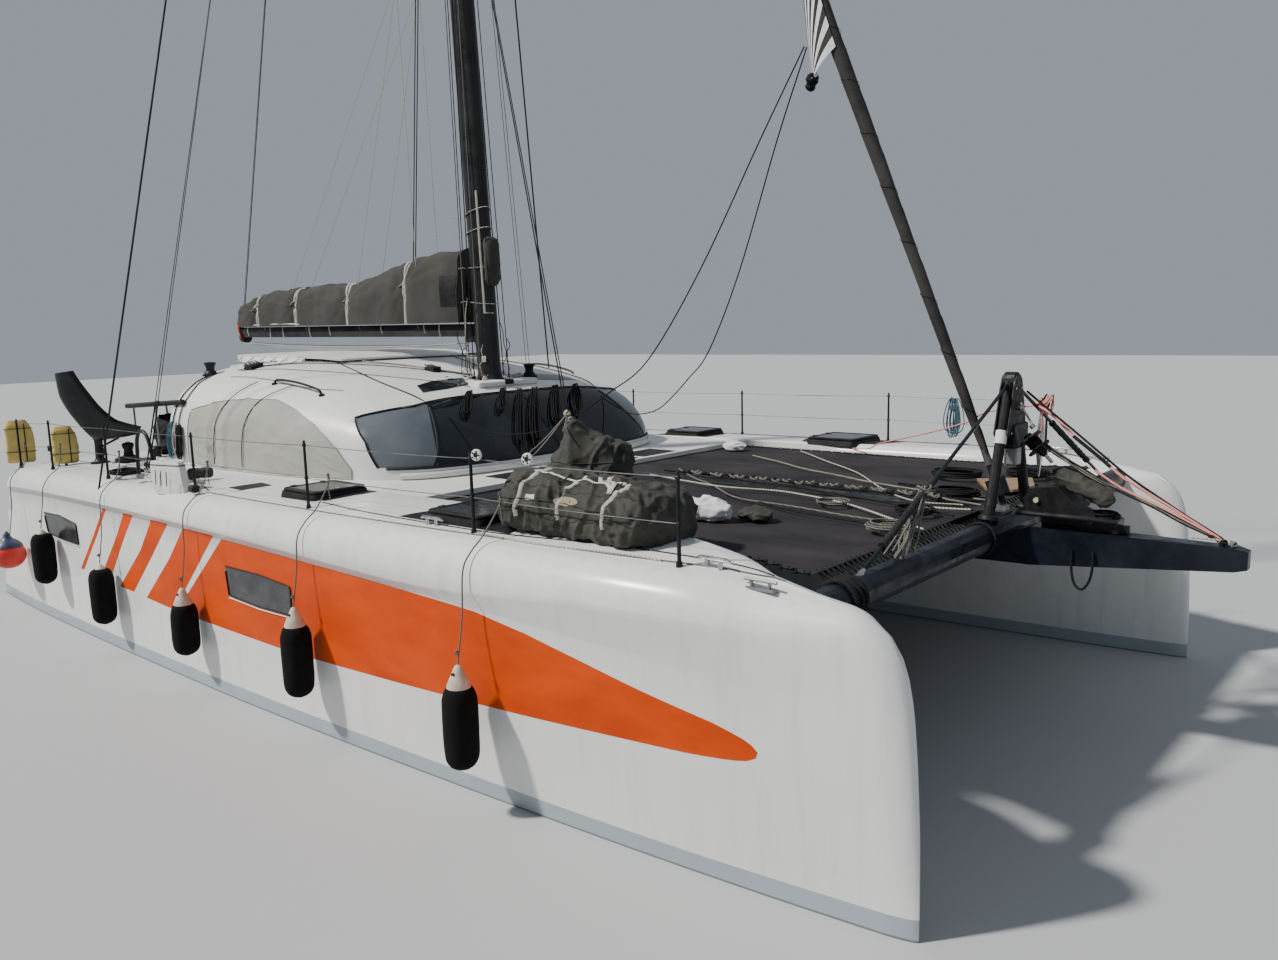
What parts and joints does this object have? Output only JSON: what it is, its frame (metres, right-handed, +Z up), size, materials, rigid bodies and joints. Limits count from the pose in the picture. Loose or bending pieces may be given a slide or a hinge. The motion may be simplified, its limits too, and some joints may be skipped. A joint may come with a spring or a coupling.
{
  "type": "sailing catamaran",
  "caption": "Performance cruising sailing catamaran with stowed sails, daggerboards, twin rudders, bridge-deck saloon and forward nets, afloat at its berth.",
  "frame": {"origin": "on the centreline, amidships, at the waterline, where the water holds it", "axes": "+X towards the bow, +Y to port, +Z up"},
  "size_m": [14.49, 7.554, 21.9],
  "materials": {
    "gelcoat": "glossy white gelcoat, slightly weathered",
    "carbon": "black lacquered carbon laminate",
    "glass": "dark smoked acrylic",
    "canvas": "pale grey-beige acrylic canvas",
    "cover": "dark grey acrylic sail cloth cover",
    "net": "black woven trampoline mesh",
    "steel": "brushed stainless steel",
    "black": "black anodised metal and fender covers",
    "yellow": "faded yellow vinyl cloth",
    "red": "inflated red vinyl",
    "foil": "painted white foil"
  },
  "bodies": {
    "root": {"hull_starboard": "gelcoat", "hull_port": "gelcoat", "bridge_deck": "gelcoat", "coach_roof": "gelcoat", "windscreen": "glass", "window_cover_starboard": "canvas", "window_cover_port": "canvas", "aft_bulkhead": "gelcoat", "door_track": "steel", "saloon_settee": "canvas", "galley_counter": "gelcoat", "mast_post": "carbon", "cockpit_bench": "gelcoat", "crossbeam": "carbon", "net_spine": "carbon", "trampoline_starboard": "net", "trampoline_port": "net", "bowsprit": "carbon", "striker_frame": "carbon", "striker_stay_starboard": "carbon", "striker_stay_port": "carbon", "mast": "carbon", "shroud_starboard": "carbon", "shroud_port": "carbon", "furled_headsail": "cover", "furler_drum": "black", "stay_bracket": "steel", "gooseneck": "steel", "guard_rail_starboard": "black", "guard_rail_port": "black", "drive_leg_starboard": "steel", "drive_leg_port": "steel", "helm_seat_starboard": "carbon", "helm_seat_port": "carbon", "anchor": "steel", "sail_bag_large": "cover", "sail_bag_small": "cover", "fender_1": "black", "fender_2": "black", "fender_3": "black", "fender_4": "black", "fender_5": "black", "fender_ball": "red", "lifebuoy_cover_1": "yellow", "lifebuoy_cover_2": "yellow"},
    "boom": {"boom": "carbon", "mainsail_cover": "cover"},
    "saloon_door": {"saloon_door": "glass"},
    "rudder_starboard": {"rudder_starboard": "foil", "tiller_starboard": "carbon"},
    "daggerboard_starboard": {"daggerboard_starboard": "foil"},
    "propeller_starboard": {"propeller_starboard": "steel"},
    "hatch_lid_midship_starboard": {"hatch_lid_midship_starboard": "glass"},
    "hatch_lid_forward_starboard": {"hatch_lid_forward_starboard": "glass"},
    "rudder_port": {"rudder_port": "foil", "tiller_port": "carbon"},
    "daggerboard_port": {"daggerboard_port": "foil"},
    "propeller_port": {"propeller_port": "steel"},
    "hatch_lid_midship_port": {"hatch_lid_midship_port": "glass"},
    "hatch_lid_forward_port": {"hatch_lid_forward_port": "glass"}
  },
  "joints": [
    {"name": "boom_swing", "type": "hinge", "parent": "root", "child": "boom", "pos_m": [-0.69, 0, 3.4], "axis": [0, 0, 1], "range_deg": [-45, 45]},
    {"name": "door_slide", "type": "slide", "parent": "root", "child": "saloon_door", "axis": [0, 1, 0], "range_m": [0, 0.86]},
    {"name": "rudder_starboard_turn", "type": "hinge", "parent": "root", "child": "rudder_starboard", "pos_m": [-5.55, -3.08, 0], "axis": [0, 0, 1], "range_deg": [-35, 35]},
    {"name": "daggerboard_starboard_lift", "type": "slide", "parent": "root", "child": "daggerboard_starboard", "axis": [0, 0, 1], "range_m": [0, 1.35]},
    {"name": "propeller_starboard_spin", "type": "hinge", "parent": "root", "child": "propeller_starboard", "pos_m": [-3.825, -3.08, -0.82], "axis": [1, 0, 0], "continuous": true},
    {"name": "hatch_midship_starboard_open", "type": "hinge", "parent": "root", "child": "hatch_lid_midship_starboard", "pos_m": [0.76, -2.86, 2.0417], "axis": [0, 1, 0], "range_deg": [0, 95]},
    {"name": "hatch_forward_starboard_open", "type": "hinge", "parent": "root", "child": "hatch_lid_forward_starboard", "pos_m": [3.08, -2.87, 2.0717], "axis": [0, 1, 0], "range_deg": [0, 95]},
    {"name": "rudder_port_turn", "type": "hinge", "parent": "root", "child": "rudder_port", "pos_m": [-5.55, 3.08, 0], "axis": [0, 0, 1], "range_deg": [-35, 35]},
    {"name": "daggerboard_port_lift", "type": "slide", "parent": "root", "child": "daggerboard_port", "axis": [0, 0, 1], "range_m": [0, 1.35]},
    {"name": "propeller_port_spin", "type": "hinge", "parent": "root", "child": "propeller_port", "pos_m": [-3.825, 3.08, -0.82], "axis": [1, 0, 0], "continuous": true},
    {"name": "hatch_midship_port_open", "type": "hinge", "parent": "root", "child": "hatch_lid_midship_port", "pos_m": [0.76, 2.86, 2.0417], "axis": [0, 1, 0], "range_deg": [0, 95]},
    {"name": "hatch_forward_port_open", "type": "hinge", "parent": "root", "child": "hatch_lid_forward_port", "pos_m": [3.08, 2.87, 2.0717], "axis": [0, 1, 0], "range_deg": [0, 95]}
  ],
  "couplings": [
    {"joint": "rudder_port_turn", "follows": "rudder_starboard_turn", "ratio": 1}
  ]
}
